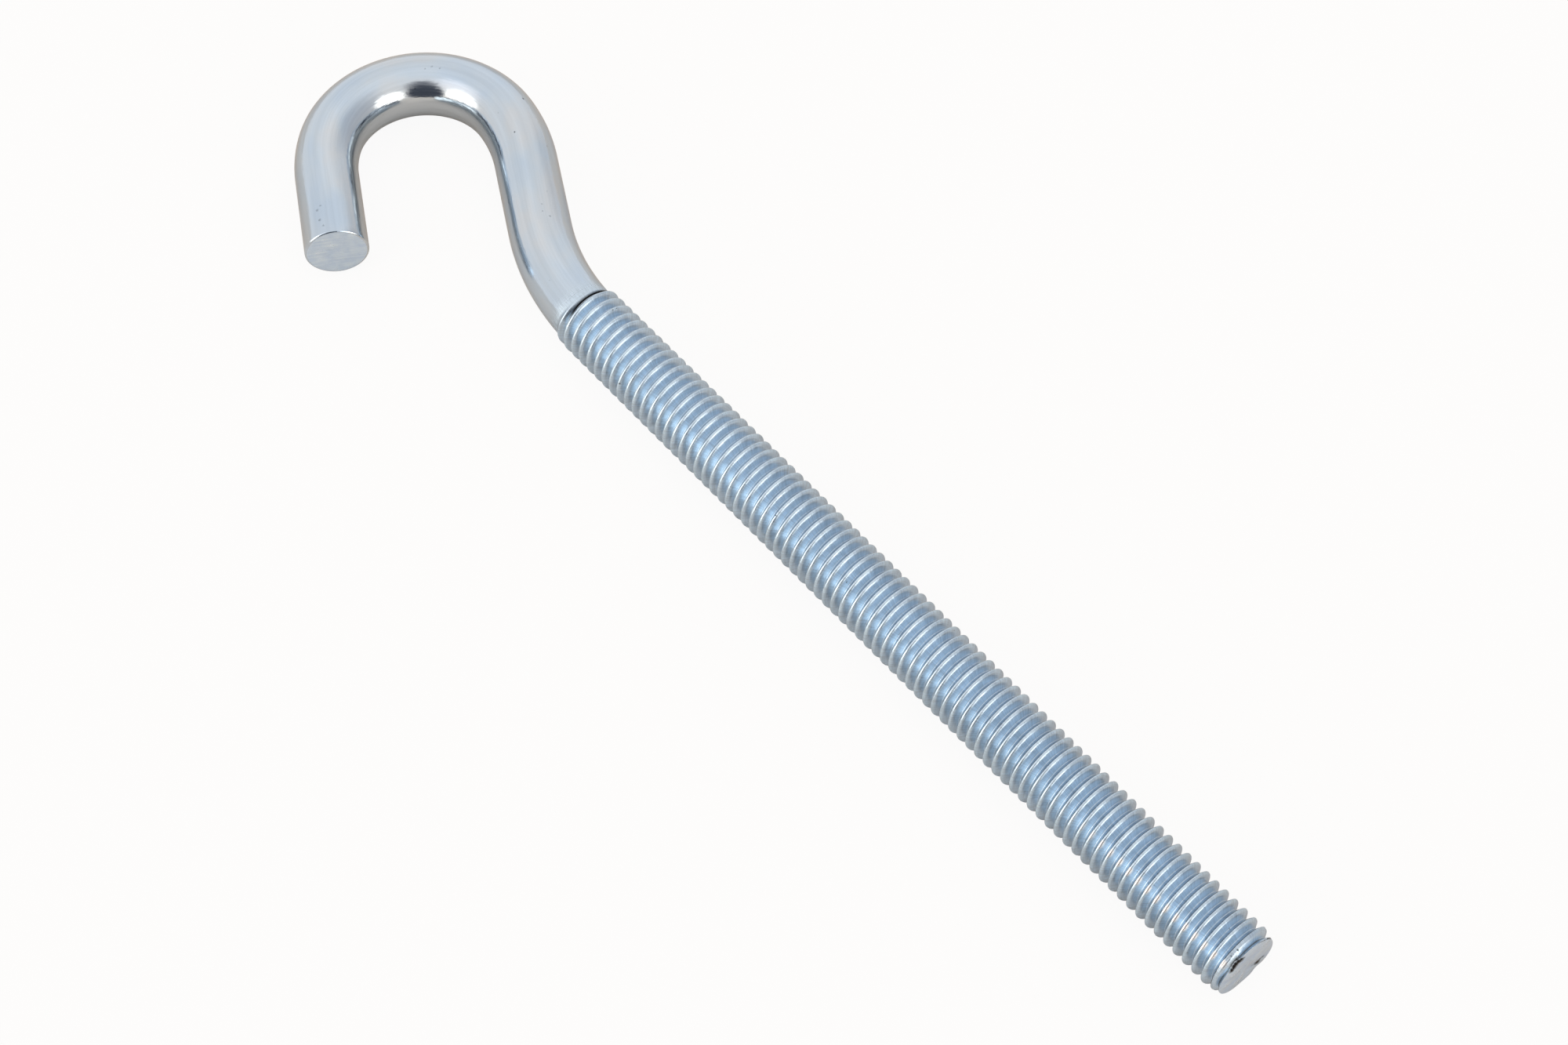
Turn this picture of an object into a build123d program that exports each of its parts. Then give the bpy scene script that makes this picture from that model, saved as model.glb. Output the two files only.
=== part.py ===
from build123d import *
import math
import os

# Hook bolt bent from one piece of round wire, with a long rolled M5 thread.
# X runs along the straight shank towards its free end, the hook lies in the XY plane and
# Z points up. The origin is on the shank's axis where the straight shank meets the neck bend.
# Lengths are in millimetres and angles in degrees. Bend radii are measured to the wire's centre line.

# Thread
thread_diameter = 4.95      # over the crests
thread_pitch = 0.8
shank_length = 62.2         # straight shank, from the neck bend to the free end
thread_on_neck = 1.6        # the thread runs this far round the start of the neck bend
end_chamfer = 0.35          # at the free end, where a nut starts

# Wire
wire_diameter = 4.44        # smooth wire, the blank that the thread was rolled on

# Neck, a gentle bend to one side that brings the bowl back over the shank's axis
neck_radius = 17.6
neck_angle = 28.8
neck_straight = 6.1

# Bowl, the turn back: it tightens from the neck, and opens again towards the tip
entry_radius = 12.1
entry_angle = 20.2
bowl_radius = 6.6
bowl_angle = 138.5
exit_radius = 9.0
exit_angle = 20.0

# Tip, cut off square
tip_straight = 6.6
tip_round = 0.2             # rim of the cut face


def along_neck(length):
    """The turn, in degrees, after this length round the neck bend."""
    return math.degrees(length / neck_radius)


def neck_arc(start_length, end_length):
    """Centre line of the neck bend between two lengths from the straight shank."""
    whole = JernArc((0, 0), (-1, 0), neck_radius, -along_neck(end_length))
    return whole.trim(start_length / end_length, 1)


def hook_line():
    """Centre line of the smooth wire, from the thread's run-out to the tip."""
    neck = neck_arc(thread_on_neck + thread_pitch, math.radians(neck_angle) * neck_radius)
    leg = Line(neck @ 1, neck @ 1 + neck_straight * (neck % 1))
    entry = JernArc(leg @ 1, leg % 1, entry_radius, entry_angle)
    bowl = JernArc(entry @ 1, entry % 1, bowl_radius, bowl_angle)
    leaving = JernArc(bowl @ 1, bowl % 1, exit_radius, exit_angle)
    tip = Line(leaving @ 1, leaving @ 1 + tip_straight * (leaving % 1))
    return Wire([neck, leg, entry, bowl, leaving, tip])


def section(line, place, diameter):
    """A round section square to a centre line, at a share of its length."""
    return Plane(line @ place, z_dir=line % place) * Circle(diameter / 2)


def smooth_hook():
    """Neck, bowl and tip of plain wire, with the rim of the cut tip worn round."""
    line = hook_line()
    wire = sweep(section(line, 0, wire_diameter), path=line)
    tip_face = wire.faces().filter_by(GeomType.PLANE).sort_by_distance(line @ 1)[0]
    return fillet(tip_face.edges(), tip_round)


def run_out():
    """The thread fades out over its last pitch, from the crests down to the smooth wire."""
    line = neck_arc(thread_on_neck, thread_on_neck + thread_pitch)
    return loft([section(line, 0, thread_diameter), section(line, 1, wire_diameter)], ruled=True)


def thread_on_bend():
    """The stretch of thread that was bent with the start of the neck."""
    bend_axis = Axis((0, neck_radius, 0), (0, 0, -1))
    thread_section = Plane.YZ * Circle(thread_diameter / 2)
    return revolve(thread_section, axis=bend_axis, revolution_arc=along_neck(thread_on_neck))


def straight_shank():
    """The straight threaded length at its crest diameter, chamfered at the free end."""
    shank = Cylinder(thread_diameter / 2, shank_length, align=(Align.CENTER, Align.CENTER, Align.MIN))
    free_end = shank.edges().filter_by(GeomType.CIRCLE).sort_by(Axis.Z)[-1]
    return Rot(0, 90, 0) * chamfer(free_end, end_chamfer)


def hook_bolt():
    """The whole bolt, one solid."""
    return straight_shank() + thread_on_bend() + run_out() + smooth_hook()


os.makedirs("parts", exist_ok=True)
bolt = hook_bolt()
export_step(bolt, "parts/hook_bolt.step")
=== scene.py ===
import bpy
import bmesh
import math
from mathutils import Matrix, Vector, noise


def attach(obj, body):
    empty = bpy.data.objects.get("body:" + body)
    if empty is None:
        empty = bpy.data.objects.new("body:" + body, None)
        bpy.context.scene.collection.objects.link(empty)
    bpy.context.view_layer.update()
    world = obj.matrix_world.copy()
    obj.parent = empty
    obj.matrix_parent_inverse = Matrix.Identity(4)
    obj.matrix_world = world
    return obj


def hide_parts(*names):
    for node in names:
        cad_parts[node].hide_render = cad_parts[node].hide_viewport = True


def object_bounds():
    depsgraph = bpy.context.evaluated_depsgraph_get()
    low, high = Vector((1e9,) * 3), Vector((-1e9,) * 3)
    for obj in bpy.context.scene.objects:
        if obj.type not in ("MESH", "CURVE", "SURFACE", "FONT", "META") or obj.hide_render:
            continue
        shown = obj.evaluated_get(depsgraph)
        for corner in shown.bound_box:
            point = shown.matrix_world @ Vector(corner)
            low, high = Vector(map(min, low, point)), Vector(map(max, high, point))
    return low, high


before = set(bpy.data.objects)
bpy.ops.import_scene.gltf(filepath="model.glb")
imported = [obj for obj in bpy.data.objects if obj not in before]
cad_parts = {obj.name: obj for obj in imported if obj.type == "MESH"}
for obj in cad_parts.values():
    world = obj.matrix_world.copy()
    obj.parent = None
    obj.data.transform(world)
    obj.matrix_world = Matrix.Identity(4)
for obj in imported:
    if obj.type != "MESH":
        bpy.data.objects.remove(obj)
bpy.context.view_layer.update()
print("frame loaded")

mm = 0.001


def fromHex(text):
    # an sRGB hex colour as linear red, green, blue and alpha
    channels = [int(text[i:i + 2], 16) / 255 for i in (0, 2, 4)]
    linear = [c / 12.92 if c <= 0.04045 else ((c + 0.055) / 1.055) ** 2.4 for c in channels]
    return (*linear, 1.0)


def addNode(tree, kind, settings=None, inputs=None):
    # adds a node; an input goes by its name, or by its number where several share a name, and it is a
    # plain value or a (node, output) pair to link from; "stops" are a colour ramp's places and colours
    node = tree.nodes.new("ShaderNode" + kind)
    for name, value in (settings or {}).items():
        if name == "stops":
            for i, (place, colour) in enumerate(value):
                stop = node.color_ramp.elements[i] if i < 2 else node.color_ramp.elements.new(place)
                stop.position = place
                stop.color = colour
        else:
            setattr(node, name, value)
    for name, value in (inputs or {}).items():
        socket = node.inputs[name]
        if isinstance(value, tuple) and isinstance(value[0], bpy.types.Node):
            tree.links.new(value[0].outputs[value[1]], socket)
        else:
            socket.default_value = value
    return node


# Bolt: sizes in millimetres and degrees, bends to the wire's centre line
bolt = {
    "crestDiameter": 4.95,
    "pitch": 0.8,
    "flankAngle": 30,           # between a flank and the radius
    "crestRoundEnd": 0.21,      # in pitches, radius of the crest towards the free end
    "crestRoundHook": 0.09,     # and towards the hook
    "bothRounds": 0.25,         # radii of crest and root together
    "firstCrest": 0.71,         # in pitches, which way round the thread starts
    "shankLength": 62.2,
    "crestFade": (62.45, 63.0),  # where the crests sink to the wire, in millimetres from the free end
    "rootFade": (62.45, 63.05),  # and where the roots rise to it
    "fadeLean": 0.25,           # how much later they do on one side
    "fadeLeanAngle": -10,
    "skinFade": (63.2, 64.2),   # where the skin turns from rolled to drawn
    "endRadius": 2.17,          # the first crests are worn: the radius at the very end, and its slope
    "endSlope": 0.3,
    "lastGroove": 62.57,        # where the last groove lies at angle 0
    "seam": (0.06, 0.12, 0.18),  # the crest's dark line, partly a rolling seam and partly painted shade, in pitches towards the hook: start, middle, end
    "wireDiameter": 4.405,
    "bends": [                  # (straight length) or (radius, turn to the left)
        (17.6, -28.8),
        (6.1,),
        (12.1, 20.2),
        (6.6, 138.5),
        (9.0, 20.0),
        (6.6,),
    ],
    "tipRound": 0.16,
}

# Bolt's mesh: how fine it is, in steps and millimetres
fineness = {
    "around": 56,               # points round the section
    "roundSteps": 3,            # steps over each rounding of the thread
    "flankRows": (0.12, 0.18, 0.26),  # rows on a flank, in pitches from the crest
    "flankGap": 0.01,           # a flank's first row is at least this far past the rounding
    "spareTurns": 2,            # turns beyond both ends of the thread, which are moved onto them
    "threadEnd": 64.1,          # the rows follow the helix this far
    "snap": 0.04,               # rows closer than this to where the helix stops are moved there
    "firstRing": 0.04,          # spacing of the rings along the smooth wire, growing from the thread
    "ringGrowth": 1.15,
    "lastRing": 0.4,
    "tipRoundSteps": 5,         # rings over the tip's worn rim
    "tipFaceSteps": 9,          # rings on the face of the tip
    "endFaceSteps": 14,         # rings on the face of the free end
    "halvings": 24,             # steps that find where a pushed point was before
    "mergeWithin": 0.0005,      # points closer than this become one
    "thinnest": 0.0002,         # and faces thinner than this go
    "sharpAngle": 50,           # edges that turn more than this many degrees stay sharp
}

# Free end: it was cropped, which left its face domed, with a bite out of the rim on one side, a pit
# on the other and a shallow valley from one to the other. Millimetres, and degrees round the end.
freeEnd = {
    "dome": 0.03,
    "rimRound": 0.04,           # how far the face falls away towards its rim
    "nearRimRound": 0.08,       # and how much more on the side of the bite
    "rimRoundFrom": 1.3,
    "valleyDepth": 0.11,
    "valleyWidth": 0.45,
    "unevenness": 0.015,
    "unevenSeed": 1.0,
    "rim": 2.2,                 # beyond this radius the face goes on as at this radius
    "bite": (57, 14, 1.88, 0.05),     # angle, half width, radius that is left, depth
    "biteSoftness": 0.08,       # how gently its inner edge goes down
    "pit": (-146, 1.34, 0.42, 0.08),  # angle, radius, half width, depth
    "pitNarrowing": 0.8,        # below 1 the pit is longer round the end than across it
    "pitRagged": 0.6,           # how far its edge wanders, as a share of its width
    "pitRaggedSize": (0.2, 9),  # in millimetres outward, and in degrees round the end
    "pitSeed": 3.0,
    "push": 0.27,               # cropping pushed the first groove up the bolt on one side
    "pushAngle": -40,
    "pushFade": (0.1, 0.7),
}

# Painted shade, with some soot and oil: darkness where shade falls in the bite and the pit of the free end,
# in the groove behind its rim, and in the last groove under the wire's step. Millimetres from the free end,
# and degrees round the bolt.
sootAndShade = {
    "endReach": 0.8,
    "biteReach": 0.4,
    "pitInside": 0.1,           # how far inside the rim the pit's darkness stays
    "rimReach": 0.45,
    "rimGroove": (0.44, 0.52),  # in pitches from a crest
    "rimDark": 0.8,
    "rimStart": (-75, -45),     # where it comes in and goes out round the rim
    "rimStop": (120, 150),
    "stepWidth": 0.05,
    "stepStart": (20, 60),
    "stepStop": (150, 175),
}


def halfOutline(crest):
    # half a turn in pitches, as (distance from the crest, depth): a rounded crest, a straight flank
    # and a rounded root, as a rolling die leaves them
    slope = math.radians(90 - bolt["flankAngle"])
    root = bolt["bothRounds"] - crest
    whole = 0.5 * math.tan(slope) - bolt["bothRounds"]
    steps = fineness["roundSteps"]
    outline = []
    for i in range(steps + 1):
        swept = slope * i / steps
        outline.append((crest * math.sin(swept), crest * (1 - math.cos(swept))))
    for share in fineness["flankRows"]:
        if share > crest * math.sin(slope) + fineness["flankGap"]:
            outline.append((share, share * math.tan(slope) - crest))
    for i in range(steps, -1, -1):
        swept = slope * i / steps
        outline.append((0.5 - root * math.sin(swept), whole - root * (1 - math.cos(swept))))
    return outline


def turnOutline():
    # one whole turn, from a crest towards the hook to the next crest
    towardsHook = halfOutline(bolt["crestRoundHook"])
    towardsEnd = [(1 - share, depth) for share, depth in reversed(halfOutline(bolt["crestRoundEnd"]))]
    return towardsHook + towardsEnd[1:]


threadOutline = turnOutline()
fullDepth = max(depth for _, depth in threadOutline)


def centreLine(distance):
    # point and direction on the centre line at a distance from the free end, in millimetres
    place = Vector((bolt["shankLength"], 0, 0))
    heading = math.pi
    pieces = [(bolt["shankLength"],)] + bolt["bends"]
    for index, piece in enumerate(pieces):
        bend = math.radians(piece[1]) if len(piece) == 2 else 0.0
        length = abs(bend) * piece[0] if bend else piece[0]
        last = index == len(pieces) - 1
        step = distance if last else min(distance, length)
        if bend:
            side = math.copysign(1, bend)
            centre = place + side * piece[0] * Vector((-math.sin(heading), math.cos(heading), 0))
            heading += side * step / piece[0]
            place = centre - side * piece[0] * Vector((-math.sin(heading), math.cos(heading), 0))
        else:
            place = place + step * Vector((math.cos(heading), math.sin(heading), 0))
        distance -= step
        if distance <= 0:
            break
    return place, heading


def wireLength():
    bent = sum(abs(math.radians(p[1])) * p[0] if len(p) == 2 else p[0] for p in bolt["bends"])
    return bolt["shankLength"] + bent


def threadDepth(share):
    # depth of the thread in pitches, at a share of the pitch from the crest
    for (a, depthA), (b, depthB) in zip(threadOutline, threadOutline[1:]):
        if share <= b:
            return depthA + (depthB - depthA) * (share - a) / (b - a)
    return 0.0


def fade(value, start, stop):
    # 0 before the start, 1 after the stop, and smooth in between
    share = min(max((value - start) / (stop - start), 0.0), 1.0)
    return share * share * (3 - 2 * share)


def pushed(along, angle):
    # where cropping pushed a point that the helix has so many millimetres from the end
    side = max(math.cos(angle - math.radians(freeEnd["pushAngle"])), 0.0)
    return along + freeEnd["push"] * side * (1 - fade(along, *freeEnd["pushFade"]))


def unpushed(distance, angle):
    # the other way round, found by halving
    if distance > freeEnd["pushFade"][1]:
        return distance
    low, high = distance - freeEnd["push"], distance
    for _ in range(fineness["halvings"]):
        middle = (low + high) / 2
        if pushed(middle, angle) < distance:
            low = middle
        else:
            high = middle
    return (low + high) / 2


def threadShare(distance, angle):
    # place across the thread in pitches, from a crest towards the hook
    return (unpushed(distance, angle) / bolt["pitch"] - angle / math.tau - bolt["firstCrest"]) % 1.0


def angleGap(angle, degrees):
    # how far round the section an angle lies from another, in degrees
    return abs((math.degrees(angle) - degrees + 180) % 360 - 180)


def skinRadius(distance, angle):
    # radius of the bolt's skin at a distance from the free end and an angle round the section
    wire = bolt["wireDiameter"] / 2
    crest = bolt["crestDiameter"] / 2
    root = crest - fullDepth * bolt["pitch"]
    lean = bolt["fadeLean"] * max(math.cos(angle - math.radians(bolt["fadeLeanAngle"])), 0.0)
    crest += (wire - crest) * fade(distance - lean, *bolt["crestFade"])
    root += (wire - root) * fade(distance - lean, *bolt["rootFade"])
    radius = crest - (crest - root) * threadDepth(threadShare(distance, angle)) / fullDepth
    return min(radius, bolt["endRadius"] + bolt["endSlope"] * distance)


def pitShare(radius, angle):
    # 1 in the middle of the pit and 0 outside, with a ragged edge
    degrees, middle, halfWidth, _ = freeEnd["pit"]
    roundGap = middle * math.radians(angleGap(angle, degrees)) * freeEnd["pitNarrowing"]
    outward, sideways = freeEnd["pitRaggedSize"]
    spot = Vector((radius / outward, math.degrees(angle) / sideways, freeEnd["pitSeed"]))
    edge = halfWidth * (1 + freeEnd["pitRagged"] * noise.noise(spot))
    return 1 - fade(math.hypot(radius - middle, roundGap), edge / 2, edge)


def biteShare(radius, angle):
    degrees, halfWidth, inner, _ = freeEnd["bite"]
    soft = freeEnd["biteSoftness"]
    aroundShare = 1 - fade(angleGap(angle, degrees), halfWidth / 2, halfWidth)
    return aroundShare * fade(radius, inner - soft, inner + soft)


def faceDepth(radius, angle):
    # how far the free end's face lies behind its foremost point
    radius = min(radius, freeEnd["rim"])
    fromBite = angle - math.radians(freeEnd["bite"][0])
    depth = freeEnd["dome"] * (radius / freeEnd["rim"]) ** 2
    outward = max(radius - freeEnd["rimRoundFrom"], 0) / (freeEnd["rim"] - freeEnd["rimRoundFrom"])
    depth += (freeEnd["rimRound"] + freeEnd["nearRimRound"] * max(math.cos(fromBite), 0.0)) * outward ** 2
    offValley = radius * math.sin(fromBite) / freeEnd["valleyWidth"]
    depth += freeEnd["valleyDepth"] * math.exp(-offValley ** 2)
    spot = Vector((radius * math.cos(angle), radius * math.sin(angle), freeEnd["unevenSeed"]))
    depth += freeEnd["unevenness"] * (1 + noise.noise(spot))
    return depth + freeEnd["pit"][3] * pitShare(radius, angle) + freeEnd["bite"][3] * biteShare(radius, angle)


def grimeAndShadeOf(distance, angle, radius):
    # how dark a spot is painted: shade in the bite, the pit and the grooves, with soot and oil
    degrees = (math.degrees(angle) + 180) % 360 - 180
    dark = 0.0
    if distance < sootAndShade["endReach"]:
        # painted shade in the groove behind the rim
        inGroove = sootAndShade["rimGroove"][0] < threadShare(distance, angle) < sootAndShade["rimGroove"][1]
        if inGroove and distance < sootAndShade["rimReach"]:
            behindRim = fade(degrees, *sootAndShade["rimStart"]) * (1 - fade(degrees, *sootAndShade["rimStop"]))
            dark = sootAndShade["rimDark"] * behindRim
        # painted shade in the bite, and below it in the pit
        if distance < sootAndShade["biteReach"]:
            dark = max(dark, biteShare(radius, angle))
        if radius < freeEnd["rim"] - sootAndShade["pitInside"]:
            dark = max(dark, pitShare(radius, angle))
    # painted shadow: a black line in the last groove, under the wire's step
    lap = bolt["lastGroove"] + bolt["pitch"] * angle / math.tau
    if abs(distance - lap) < sootAndShade["stepWidth"]:
        degrees = math.degrees(angle)
        dark = max(dark, fade(degrees, *sootAndShade["stepStart"]) * (1 - fade(degrees, *sootAndShade["stepStop"])))
    return dark


def seamAndShadeOf(share, distance):
    # 1 along the dark line beside each crest, 0 away from it: partly the seam that rolling leaves, partly
    # painted shade
    start, middle, end = bolt["seam"]
    if share < start or share > end:
        return 0.0
    near = (share - start) / (middle - start) if share < middle else (end - share) / (end - middle)
    return near * (1 - fade(distance, *bolt["crestFade"]))


def skinPoint(distance, angle, radius):
    # a point of the skin, the same point on the straightened bolt, and its painted dark line and painted
    # shade with grime
    place, heading = centreLine(distance)
    across = Vector((-math.sin(heading), math.cos(heading), 0))
    out = across * math.cos(angle) + Vector((0, 0, math.sin(angle)))
    straight = Vector((distance, radius * math.cos(angle), radius * math.sin(angle)))
    seam = 0.0
    # painted shade, partly rolling seam: the dark line beside each crest
    if distance < bolt["rootFade"][1]:
        seam = seamAndShadeOf(threadShare(distance, angle), distance)
    return (place + radius * out) * mm, straight, seam, grimeAndShadeOf(distance, angle, radius)


def angles():
    # once round the section; the last angle closes the ring
    return [math.tau * i / fineness["around"] for i in range(fineness["around"] + 1)]


def ringRow(distance, radius):
    return [skinPoint(distance, angle, radius) for angle in angles()]


def threadRows():
    # rows of points that follow the helix, so that crest and root stay crisp
    end = fineness["threadEnd"]
    spare = fineness["spareTurns"]
    rows = []
    for number in range(-spare, int(end / bolt["pitch"]) + spare + 1):
        for share, _ in threadOutline[:-1]:
            row = []
            for angle in angles():
                turns = number + share + bolt["firstCrest"] + angle / math.tau
                distance = pushed(turns * bolt["pitch"], angle)
                rim = faceDepth(freeEnd["rim"], angle)
                if distance < rim + fineness["snap"]:
                    distance = rim
                if distance > end - fineness["snap"]:
                    distance = end
                row.append(skinPoint(distance, angle, skinRadius(distance, angle)))
            rows.append(row)
    return rows


def wireRows():
    # rings along the smooth wire, from the run-out to the rim of the cut tip
    start = fineness["threadEnd"]
    stop = wireLength() - bolt["tipRound"]
    step = fineness["firstRing"]
    places = [start]
    while places[-1] < stop:
        places.append(places[-1] + step)
        step = min(step * fineness["ringGrowth"], fineness["lastRing"])
    stretch = (stop - start) / (places[-1] - start)
    return [ringRow(start + (place - start) * stretch, bolt["wireDiameter"] / 2) for place in places]


def tipRim():
    # the worn rim of the cut tip
    small = bolt["tipRound"]
    start = wireLength() - small
    flat = bolt["wireDiameter"] / 2 - small
    steps = fineness["tipRoundSteps"]
    rows = []
    for j in range(steps + 1):
        swept = math.pi / 2 * j / steps
        rows.append(ringRow(start + small * math.sin(swept), flat + small * math.cos(swept)))
    return rows


def tipFace():
    # the flat face of the cut tip
    flat = bolt["wireDiameter"] / 2 - bolt["tipRound"]
    steps = fineness["tipFaceSteps"]
    return [ringRow(wireLength(), flat * (1 - j / steps)) for j in range(steps + 1)]


def endRows():
    # the sheared face of the free end, from the rim that the thread leaves to its middle
    steps = fineness["endFaceSteps"]
    rows = []
    for j in range(steps + 1):
        row = []
        for angle in angles():
            rim = faceDepth(freeEnd["rim"], angle)
            radius = skinRadius(rim, angle) * (1 - j / steps)
            row.append(skinPoint(faceDepth(radius, angle) if j else rim, angle, radius))
        rows.append(row)
    return rows


def addGrid(mesh, rows, slot):
    # joins neighbouring rows of points with faces of one material slot
    straightLayer = mesh.verts.layers.float_vector["straightened"]
    seamAndShadeLayer = mesh.verts.layers.float["seam"]
    grimeAndShadeLayer = mesh.verts.layers.float["grime"]
    made = []
    for row in rows:
        line = []
        for point, straight, seam, grime in row:
            vertex = mesh.verts.new(point)
            vertex[straightLayer] = straight
            vertex[seamAndShadeLayer] = seam
            vertex[grimeAndShadeLayer] = grime
            line.append(vertex)
        made.append(line)
    for row, following in zip(made, made[1:]):
        for i in range(len(row) - 1):
            face = mesh.faces.new((row[i], row[i + 1], following[i + 1], following[i]))
            face.material_index = slot


def makeBolt():
    mesh = bmesh.new()
    mesh.verts.layers.float_vector.new("straightened")
    mesh.verts.layers.float.new("seam")
    mesh.verts.layers.float.new("grime")
    for rows in (threadRows(), wireRows(), tipRim()):
        addGrid(mesh, rows, 0)
    for rows in (tipFace(), endRows()):
        addGrid(mesh, rows, 1)
    bmesh.ops.remove_doubles(mesh, verts=mesh.verts, dist=fineness["mergeWithin"] * mm)
    bmesh.ops.dissolve_degenerate(mesh, edges=mesh.edges, dist=fineness["thinnest"] * mm)
    bmesh.ops.recalc_face_normals(mesh, faces=mesh.faces)
    data = bpy.data.meshes.new("threadedHookBolt")
    mesh.to_mesh(data)
    mesh.free()
    for face in data.polygons:
        face.use_smooth = True
    data.set_sharp_from_angle(angle=math.radians(fineness["sharpAngle"]))
    piece = bpy.data.objects.new("threadedHookBolt", data)
    bpy.context.scene.collection.objects.link(piece)
    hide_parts("hook_bolt")
    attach(piece, "root")
    return piece


boltPiece = makeBolt()
print("bolt made:", len(boltPiece.data.polygons), "faces")


# Bright zinc plating: electroplated steel, passivated to a clear blue. The eye sees a soft mirror
# with a cold tint, which deepens where the metal mirrors itself in the thread. The wire was drawn
# through a die, so fine lines run along it, and the thread was rolled, so there they run round it.
zinc = {
    "clear": "C4D9ED",
    "blue": "BCD4ED",
    "warm": "CBDAE8",
    "tintStops": (0.34, 0.5, 0.64),   # where the drift is blue, clear and warm
    "inside": "C9D5DF",         # painted reflection: a greyer tint inside the hook, standing in for the grey table it mirrors there
    "insideFrom": (74, 82),     # millimetres from the free end
    "insideReach": (0.9, 1.9),  # millimetres from the wire's middle towards the inside of the hook
    "thread": "C3DBF1",         # the passivation is thicker in the thread
    "crest": "C9E3F9",          # and lighter on its crests: a painted highlight
    "crestBand": (0.10, 0.02),  # millimetres under the crest, where that starts and is full
    "paintedGlint": "F4F7FA",         # painted highlight: white glints painted on the crests along one line near the free end
    "glintAngle": 45,
    "glintWidth": (8, 3.5),       # degrees off that line, where it starts and is full
    "glintEnd": (14, 9),          # millimetres from the free end
    "glintBand": (0.24, 0.08),    # millimetres under the crest
    "glintPolish": 0.04,          # how much smoother they are
    "seam": "161416",           # near-black beside the crests: the metal that rolling folded over, and painted shade
    "seamAndShadeEdge": (0.2, 0.6),     # the share of the dark line's strength where it shows first and is full
    "seamAndShadeBreaks": (1.0, 0.6, 0.45, 0.70),   # strongest, weakest, and the hatch's values there
    "grime": "16171B",          # dark of soot and oil in cracks, pinholes and specks, and of painted shade in the grooves, bite and pit
    "edge": "EDEAE6",           # what the metal turns to at a glancing angle
    "roughness": 0.11,
    "threadRoughness": 0.33,
    "unevenness": (-0.05, 0.08, 0.3, 0.7),  # least and most roughness added, and the lines' values there
    "drawnHeight": 0.005,       # heights in millimetres
    "rolledHeight": 0.018,
    "waveHeight": 0.02,
    "grainHeight": 0.005,
    "patterns": {               # length along the bolt and width both ways across it, and detail
        "drift": (6.0, 3.0, 3.0, 3),      # slow drift of the tint
        "drawn": (8.0, 0.14, 0.14, 3),    # fine lines of the drawing die, as coarse as they need to show
        "rolled": (0.05, 1.4, 1.4, 3),    # marks of the rolling die, round the thread
        "band": (14.0, 0.9, 0.9, 2),      # broad soft bands of the drawing die
        "wave": (3.0, 0.8, 0.8, 2),       # slow waves in the skin
        "grain": (0.45, 0.13, 0.13, 3),   # grain of the coat
        "spots": (0.35, 0.35, 0.35, 1),   # where the coat has pinholes
    },
    "hatch": (0.5, 0.07, 0.07, 1),        # what the die left of the drawing lines, across the thread
    "shades": {                 # darkest, lightest, and the pattern's values there
        "band": (0.93, 1.03, 0.36, 0.60),
        "drawn": (0.97, 1.02, 0.30, 0.70),
        "rolled": (0.90, 1.06, 0.30, 0.70),
        "hatch": (0.89, 1.09, 0.35, 0.65),
    },
    "pinholes": (0.0, 0.75, 0.79, 0.83),  # least and most darkness, and the spots' values there
    "specks": [                 # dark specks: millimetres from the free end, angle, radius, size, darkness
        (0.60, 62, 2.36, 0.07, 1.0),
        (60.66, 105, 2.44, 0.08, 0.8),
        (60.74, 113, 2.44, 0.07, 0.8),
        (59.52, 22, 2.44, 0.09, 0.7),
        (104.9, 115, 2.2, 0.16, 0.35),
        (104.6, 108, 2.2, 0.11, 0.3),
        (105.8, 112, 2.2, 0.13, 0.35),
        (106.4, 108, 2.2, 0.12, 0.3),
        (71.5, 98, 2.2, 0.08, 0.3),
        (70.4, 108, 2.2, 0.10, 0.45),
        (88.2, 78, 2.2, 0.11, 0.3),
        (87.7, 82, 2.2, 0.09, 0.3),
        (87.1, 80, 2.2, 0.10, 0.3),
    ],
    "endSpecks": [              # the bite and pit that cropping left in the free end, painted black as shade
        (0.14, 43, 1.84, 0.30, 1.0),
        (0.15, 50, 1.80, 0.36, 1.0),
        (0.16, 57, 1.80, 0.36, 1.0),
        (0.15, 64, 1.82, 0.34, 1.0),
        (0.14, 70, 1.88, 0.26, 1.0),
        (0.13, -151, 1.32, 0.40, 1.0),
        (0.13, -141, 1.48, 0.32, 1.0),
        (0.12, -161, 1.55, 0.22, 0.8),
    ],
    "speckRagged": (0.2, 0.2, 0.2, 2),    # the pattern that makes their edges ragged
    "speckRaggedness": 0.22,    # and how far it moves them, in millimetres
    "speckCore": 0.3,           # the share of a speck's size that is fully dark
}


def addPattern(tree, skin, pattern):
    # noise with patches so long along the bolt and so wide both ways across it, in millimetres
    *size, detail = pattern
    scaled = addNode(tree, "VectorMath", {"operation": "MULTIPLY"}, {
        0: (skin, "Vector"), 1: [1 / length for length in size]})
    return addNode(tree, "TexNoise", inputs={"Vector": (scaled, "Vector"), "Scale": 1.0, "Detail": detail})


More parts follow.
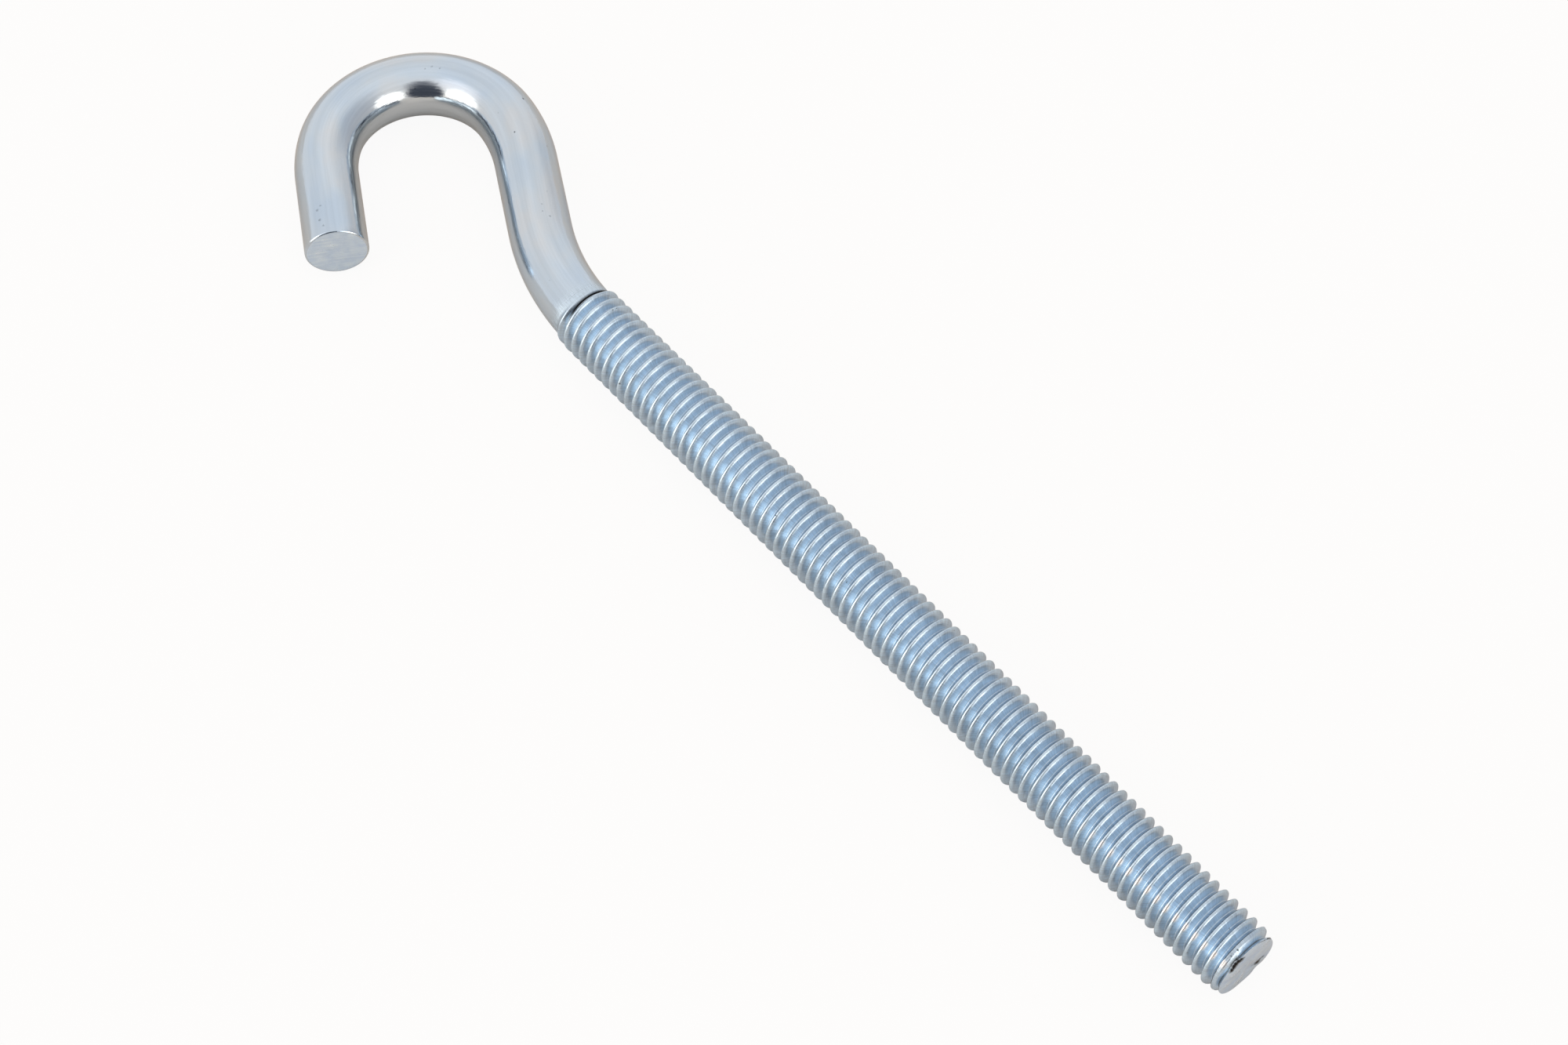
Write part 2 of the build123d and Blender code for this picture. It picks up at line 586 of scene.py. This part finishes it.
def addSpecks(tree, straight, dark, specks):
    # lays ragged dark specks over a darkness
    ragged = addPattern(tree, straight, zinc["speckRagged"])
    nudge = addNode(tree, "VectorMath", {"operation": "SCALE"}, {
        0: (ragged, "Color"), "Scale": zinc["speckRaggedness"]})
    nudged = addNode(tree, "VectorMath", {"operation": "ADD"}, {
        0: (straight, "Vector"), 1: (nudge, "Vector")})
    shift = zinc["speckRaggedness"] / 2
    for distance, angle, out, size, darkness in specks:
        a = math.radians(angle)
        middle = (distance + shift, out * math.cos(a) + shift, out * math.sin(a) + shift)
        gap = addNode(tree, "VectorMath", {"operation": "DISTANCE"}, {0: (nudged, "Vector"), 1: middle})
        speck = addNode(tree, "MapRange", inputs={
            "Value": (gap, "Value"), "From Min": size * zinc["speckCore"], "From Max": size,
            "To Min": darkness, "To Max": 0.0})
        dark = addNode(tree, "Math", {"operation": "MAXIMUM"}, {0: (dark, "Value"), 1: (speck, "Result")})
    return dark


def newMaterial(name):
    material = bpy.data.materials.new(name)
    material.use_nodes = True
    material.node_tree.nodes.clear()
    return material, material.node_tree


def finishMetal(tree, colour, rough, bumps):
    # the metal itself, with bumps one on another, each an output and its height in millimetres
    last = None
    for height, distance in bumps:
        inputs = {"Height": height, "Strength": 1.0, "Distance": distance * mm}
        if last:
            inputs["Normal"] = (last, "Normal")
        last = addNode(tree, "Bump", inputs=inputs)
    metal = addNode(tree, "BsdfPrincipled", inputs={
        "Base Color": colour, "Metallic": 1.0, "Roughness": rough,
        "Specular Tint": fromHex(zinc["edge"]), "Normal": (last, "Normal")})
    addNode(tree, "OutputMaterial", inputs={"Surface": (metal, "BSDF")})


def zincMaterial():
    material, tree = newMaterial("brightZincPlating")
    straight = addNode(tree, "Attribute", {"attribute_name": "straightened"})
    seam = addNode(tree, "Attribute", {"attribute_name": "seam"})
    grime = addNode(tree, "Attribute", {"attribute_name": "grime"})
    place = addNode(tree, "SeparateXYZ", inputs={"Vector": (straight, "Vector")})
    section = addNode(tree, "VectorMath", {"operation": "MULTIPLY"}, {0: (straight, "Vector"), 1: (0, 1, 1)})
    radius = addNode(tree, "VectorMath", {"operation": "LENGTH"}, {0: (section, "Vector")})
    outward = addNode(tree, "VectorMath", {"operation": "NORMALIZE"}, {0: (section, "Vector")})
    crestRadius = bolt["crestDiameter"] / 2
    # the line round the bolt where the white glints are painted
    glintAngle = math.radians(zinc["glintAngle"])
    towardsGlint = addNode(tree, "VectorMath", {"operation": "DOT_PRODUCT"}, {
        0: (outward, "Vector"), 1: (0, math.cos(glintAngle), math.sin(glintAngle))})

    # masks from 0 to 1: what each goes by, where it starts and where it is full
    masks = {}
    for name, source, (start, full) in (
            ("wire", (place, "X"), bolt["skinFade"]),
            ("hook", (place, "X"), zinc["insideFrom"]),
            ("inside", (place, "Y"), zinc["insideReach"]),
            ("crest", (radius, "Value"), [crestRadius - depth for depth in zinc["crestBand"]]),
            ("glintCrest", (radius, "Value"), [crestRadius - depth for depth in zinc["glintBand"]]),
            ("glintLine", (towardsGlint, "Value"), [math.cos(math.radians(a)) for a in zinc["glintWidth"]]),
            ("glintEnd", (place, "X"), zinc["glintEnd"]),
            ("seam", (seam, "Fac"), zinc["seamAndShadeEdge"])):
        mask = addNode(tree, "MapRange", inputs={"Value": source, "From Min": start, "From Max": full})
        masks[name] = (mask, "Result")

    # patterns; the hatch lies on the crests' circle, so that its lines run straight down the flanks
    patterns = {name: addPattern(tree, straight, pattern) for name, pattern in zinc["patterns"].items()}
    onCrests = addNode(tree, "VectorMath", {"operation": "SCALE"}, {
        0: (outward, "Vector"), "Scale": crestRadius})
    alongBolt = addNode(tree, "VectorMath", {"operation": "MULTIPLY"}, {
        0: (straight, "Vector"), 1: (1, 0, 0)})
    crestTube = addNode(tree, "VectorMath", {"operation": "ADD"}, {
        0: (onCrests, "Vector"), 1: (alongBolt, "Vector")})
    patterns["hatch"] = addPattern(tree, crestTube, zinc["hatch"])

    # tint
    stops = [(at, fromHex(zinc[name])) for at, name in zip(zinc["tintStops"], ("blue", "clear", "warm"))]
    tint = addNode(tree, "ValToRGB", {"stops": stops}, {"Fac": (patterns["drift"], "Fac")})
    # painted reflection: the greyer tint inside the hook
    inside = addNode(tree, "Math", {"operation": "MULTIPLY"}, {0: masks["inside"], 1: masks["hook"]})
    wireTint = addNode(tree, "Mix", {"data_type": "RGBA"}, {
        "Factor": (inside, "Value"), 6: (tint, "Color"), 7: fromHex(zinc["inside"])})
    # painted highlight: a lighter tint on the crests
    threadTint = addNode(tree, "Mix", {"data_type": "RGBA"}, {
        "Factor": masks["crest"], 6: fromHex(zinc["thread"]), 7: fromHex(zinc["crest"])})
    tinted = addNode(tree, "Mix", {"data_type": "RGBA"}, {
        "Factor": masks["wire"], 6: (threadTint, 2), 7: (wireTint, 2)})

    # shades that the patterns lay over the tint
    shades = {}
    for name, (darkest, lightest, low, high) in zinc["shades"].items():
        shade = addNode(tree, "MapRange", inputs={
            "Value": (patterns[name], "Fac"), "From Min": low, "From Max": high,
            "To Min": darkest, "To Max": lightest})
        shades[name] = (shade, "Result")
    threadShade = addNode(tree, "Math", {"operation": "MULTIPLY"}, {0: shades["rolled"], 1: shades["hatch"]})
    lineShade = addNode(tree, "Mix", {"data_type": "FLOAT"}, {
        "Factor": masks["wire"], 2: (threadShade, "Value"), 3: shades["drawn"]})
    shade = addNode(tree, "Math", {"operation": "MULTIPLY"}, {0: shades["band"], 1: (lineShade, 0)})
    shaded = addNode(tree, "VectorMath", {"operation": "SCALE"}, {0: (tinted, 2), "Scale": (shade, "Value")})

    # painted highlight: white glints painted on the crests
    glintOnCrest = addNode(tree, "Math", {"operation": "MULTIPLY"}, {0: masks["glintLine"], 1: masks["glintCrest"]})
    paintedGlint = addNode(tree, "Math", {"operation": "MULTIPLY"}, {0: (glintOnCrest, "Value"), 1: masks["glintEnd"]})
    withPaintedGlint = addNode(tree, "Mix", {"data_type": "RGBA"}, {
        "Factor": (paintedGlint, "Value"), 6: (shaded, "Vector"), 7: fromHex(zinc["paintedGlint"])})

    # the dark line beside the crests, partly a rolling seam and partly painted shade, broken here and there,
    # and gone under the painted glints
    strongest, weakest, low, high = zinc["seamAndShadeBreaks"]
    breaks = addNode(tree, "MapRange", inputs={
        "Value": (patterns["hatch"], "Fac"), "From Min": low, "From Max": high,
        "To Min": strongest, "To Max": weakest})
    seamAndShadeOffGlint = addNode(tree, "Math", {"operation": "SUBTRACT"}, {0: (breaks, "Result"), 1: (paintedGlint, "Value")})
    seamAndShadeLeft = addNode(tree, "Math", {"operation": "MAXIMUM"}, {0: (seamAndShadeOffGlint, "Value"), 1: 0.0})
    seamAndShadeShare = addNode(tree, "Math", {"operation": "MULTIPLY"}, {0: masks["seam"], 1: (seamAndShadeLeft, "Value")})
    seamAndShadeMixed = addNode(tree, "Mix", {"data_type": "RGBA"}, {
        "Factor": (seamAndShadeShare, "Value"), 6: (withPaintedGlint, 2), 7: fromHex(zinc["seam"])})

    # painted shade with grime, pinholes and specks
    none, darkest, low, high = zinc["pinholes"]
    pinholes = addNode(tree, "MapRange", inputs={
        "Value": (patterns["spots"], "Fac"), "From Min": low, "From Max": high,
        "To Min": none, "To Max": darkest})
    dark = addNode(tree, "Math", {"operation": "MAXIMUM"}, {0: (grime, "Fac"), 1: (pinholes, "Result")})
    dark = addSpecks(tree, straight, dark, zinc["specks"] + zinc["endSpecks"])
    colour = addNode(tree, "Mix", {"data_type": "RGBA"}, {
        "Factor": (dark, "Value"), 6: (seamAndShadeMixed, 2), 7: fromHex(zinc["grime"])})

    # roughness and bumps: drawn lines on the wire, and the mean of rolled and hatched ones on the thread
    rolledAndHatch = addNode(tree, "Math", {"operation": "ADD"}, {
        0: (patterns["rolled"], "Fac"), 1: (patterns["hatch"], "Fac")})
    onThread = addNode(tree, "Math", {"operation": "DIVIDE"}, {0: (rolledAndHatch, "Value"), 1: 2.0})
    lines = addNode(tree, "Mix", {"data_type": "FLOAT"}, {
        "Factor": masks["wire"], 2: (onThread, "Value"), 3: (patterns["drawn"], "Fac")})
    base = addNode(tree, "MapRange", inputs={
        "Value": masks["wire"], "To Min": zinc["threadRoughness"], "To Max": zinc["roughness"]})
    least, most, low, high = zinc["unevenness"]
    uneven = addNode(tree, "MapRange", inputs={
        "Value": (lines, 0), "From Min": low, "From Max": high, "To Min": least, "To Max": most})
    duller = addNode(tree, "Math", {"operation": "ADD"}, {0: (base, "Result"), 1: (uneven, "Result")})
    glintSmoothing = addNode(tree, "Math", {"operation": "MULTIPLY"}, {0: (paintedGlint, "Value"), 1: zinc["glintPolish"]})
    rough = addNode(tree, "Math", {"operation": "SUBTRACT"}, {0: (duller, "Value"), 1: (glintSmoothing, "Value")})
    lineShare = addNode(tree, "MapRange", inputs={
        "Value": masks["wire"], "To Min": 1.0, "To Max": zinc["drawnHeight"] / zinc["rolledHeight"]})
    lineBump = addNode(tree, "Math", {"operation": "MULTIPLY"}, {0: (lines, 0), 1: (lineShare, "Result")})
    finishMetal(tree, (colour, 2), (rough, "Value"), [
        ((lineBump, "Value"), zinc["rolledHeight"]),
        ((patterns["wave"], "Fac"), zinc["waveHeight"]),
        ((patterns["grain"], "Fac"), zinc["grainHeight"])])
    return material


# Sheared ends, plated like the rest: cropping tore the steel, so the eye sees a paler, greyer and
# softer face with marks that run the way the blade went.
sheared = {
    "pale": "DAEEFF",
    "grey": "C2DAF6",
    "tintStops": (0.10, 0.40),  # where the face is grey and pale
    "grimeAndShadeShare": 0.35,         # how much of the painted shade and grime stays on the face
    "roughness": (0.41, 0.25, 0.3, 0.7),  # roughest, smoothest, and the patches' values there
    "marks": (1.0, 2.2, 0.16, 4),         # sizes and detail, as for the plating
    "patches": (0.9, 0.9, 0.9, 3),
    "markHeight": 0.006,
    "patchHeight": 0.10,
}


def shearedMaterial():
    material, tree = newMaterial("shearedZincFace")
    straight = addNode(tree, "Attribute", {"attribute_name": "straightened"})
    grime = addNode(tree, "Attribute", {"attribute_name": "grime"})
    marks = addPattern(tree, straight, sheared["marks"])
    patches = addPattern(tree, straight, sheared["patches"])
    both = addNode(tree, "Math", {"operation": "MULTIPLY"}, {0: (marks, "Fac"), 1: (patches, "Fac")})
    stops = [(at, fromHex(sheared[name])) for at, name in zip(sheared["tintStops"], ("grey", "pale"))]
    tint = addNode(tree, "ValToRGB", {"stops": stops}, {"Fac": (both, "Value")})
    # painted shade: part of the darkness painted on the face, and black specks at the bite and pit
    flat = addNode(tree, "Math", {"operation": "MULTIPLY"}, {0: (grime, "Fac"), 1: sheared["grimeAndShadeShare"]})
    dark = addSpecks(tree, straight, flat, zinc["endSpecks"])
    colour = addNode(tree, "Mix", {"data_type": "RGBA"}, {
        "Factor": (dark, "Value"), 6: (tint, "Color"), 7: fromHex(zinc["grime"])})
    roughest, smoothest, low, high = sheared["roughness"]
    rough = addNode(tree, "MapRange", inputs={
        "Value": (patches, "Fac"), "From Min": low, "From Max": high,
        "To Min": roughest, "To Max": smoothest})
    finishMetal(tree, (colour, 2), (rough, "Result"), [
        ((marks, "Fac"), sheared["markHeight"]), ((patches, "Fac"), sheared["patchHeight"])])
    return material


boltPiece.data.materials.append(zincMaterial())
boltPiece.data.materials.append(shearedMaterial())
print("zinc plating made")


# Studio: a pale table in a bright cloth tent. The tent is open where the camera looks in, with a
# brighter cloth on each side of the opening, and one side wall is further from the lamps.
studio = {
    "floorColour": "DED8D1",
    "floorSize": 1200,
    "cameraLift": 0.93,         # how far the table goes to white for the camera, and for the metal
    "glossLift": 0.10,
    "tentColour": "FFF2E8",
    "tentLight": 1.02,
    "zones": [                  # azimuth, elevation, half width, softness in degrees, colour, light
        (62, 16, 32, 22, "EDE6E4", 0.72),     # dim wall
        (-98, 44, 16, 14, "FFEFE4", 1.5),     # high cloth
        (6, 15, 15, 11, "FFF3E6", 3.6),       # cloth to the left of the opening
        (-97, 15, 18, 12, "FFF0E0", 3.3),     # and to the right
        (-43, 42, 14, 9, "9A9494", 0.80),     # upper opening
        (-46, 18, 25, 6, "6C6E78", 0.50),     # opening
    ],
}


def direction(azimuth, elevation):
    a = math.radians(azimuth)
    e = math.radians(elevation)
    return Vector((math.cos(e) * math.cos(a), math.cos(e) * math.sin(a), math.sin(e)))


def makeFloor():
    half = studio["floorSize"] / 2 * mm
    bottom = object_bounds()[0][2]
    data = bpy.data.meshes.new("tableTop")
    corners = [(-half, -half, bottom), (half, -half, bottom), (half, half, bottom), (-half, half, bottom)]
    data.from_pydata(corners, [], [(0, 1, 2, 3)])
    floor = bpy.data.objects.new("tableTop", data)
    bpy.context.scene.collection.objects.link(floor)
    material, tree = newMaterial("whiteTable")
    paint = addNode(tree, "BsdfDiffuse", inputs={"Color": fromHex(studio["floorColour"])})
    white = addNode(tree, "Emission", inputs={"Color": fromHex("FFFFFF")})
    path = addNode(tree, "LightPath")
    forCamera = addNode(tree, "Math", {"operation": "MULTIPLY"}, {
        0: (path, "Is Camera Ray"), 1: studio["cameraLift"]})
    forGloss = addNode(tree, "Math", {"operation": "MULTIPLY"}, {
        0: (path, "Is Glossy Ray"), 1: studio["glossLift"]})
    lift = addNode(tree, "Math", {"operation": "MAXIMUM"}, {0: (forCamera, "Value"), 1: (forGloss, "Value")})
    mix = addNode(tree, "MixShader", inputs={
        "Fac": (lift, "Value"), 1: (paint, "BSDF"), 2: (white, "Emission")})
    addNode(tree, "OutputMaterial", inputs={"Surface": (mix, "Shader")})
    floor.data.materials.append(material)


def makeWorld():
    world = bpy.data.worlds.new("lightTent")
    bpy.context.scene.world = world
    world.use_nodes = True
    tree = world.node_tree
    tree.nodes.clear()
    place = addNode(tree, "TexCoord")
    cloth = [c * studio["tentLight"] for c in fromHex(studio["tentColour"])]
    for azimuth, elevation, halfWidth, softness, colour, light in studio["zones"]:
        along = addNode(tree, "VectorMath", {"operation": "DOT_PRODUCT"}, {
            0: (place, "Generated"), 1: direction(azimuth, elevation)})
        outer = math.cos(math.radians(halfWidth + softness))
        inner = math.cos(math.radians(max(halfWidth - softness, 0)))
        zone = addNode(tree, "MapRange", {"interpolation_type": "SMOOTHSTEP"}, {
            "Value": (along, "Value"), "From Min": outer, "From Max": inner})
        mixed = addNode(tree, "Mix", {"data_type": "RGBA"}, {
            "Factor": (zone, "Result"), 6: cloth, 7: [c * light for c in fromHex(colour)]})
        cloth = (mixed, 2)
    tent = addNode(tree, "Background", inputs={"Color": cloth})
    white = addNode(tree, "Background", inputs={"Color": fromHex("FFFFFF")})
    path = addNode(tree, "LightPath")
    mix = addNode(tree, "MixShader", inputs={
        "Fac": (path, "Is Camera Ray"), 1: (tent, "Background"), 2: (white, "Background")})
    addNode(tree, "OutputWorld", inputs={"Surface": (mix, "Shader")})


makeFloor()
makeWorld()
print("studio made")


# Camera: place and aim in millimetres, lens on a 36 mm wide sensor
view = {
    "place": (107.97, -78.25, 176.52),
    "aim": (20.49, -0.57, 0.0),
    "roll": 1.47,
    "lens": 75.44,
    "sensor": 36,
    "nearest": 10,              # nothing closer than this is drawn
}


def makeCamera():
    data = bpy.data.cameras.new("camera")
    data.lens = view["lens"]
    data.sensor_width = view["sensor"]
    data.clip_start = view["nearest"] * mm
    camera = bpy.data.objects.new("camera", data)
    place = Vector(view["place"]) * mm
    look = (Vector(view["aim"]) * mm - place).to_track_quat("-Z", "Y").to_matrix().to_4x4()
    roll = Matrix.Rotation(math.radians(view["roll"]), 4, "Z")
    camera.matrix_world = Matrix.Translation(place) @ look @ roll
    bpy.context.scene.collection.objects.link(camera)
    bpy.context.scene.camera = camera


makeCamera()
bpy.context.scene.view_settings.view_transform = "Standard"
print("camera made")
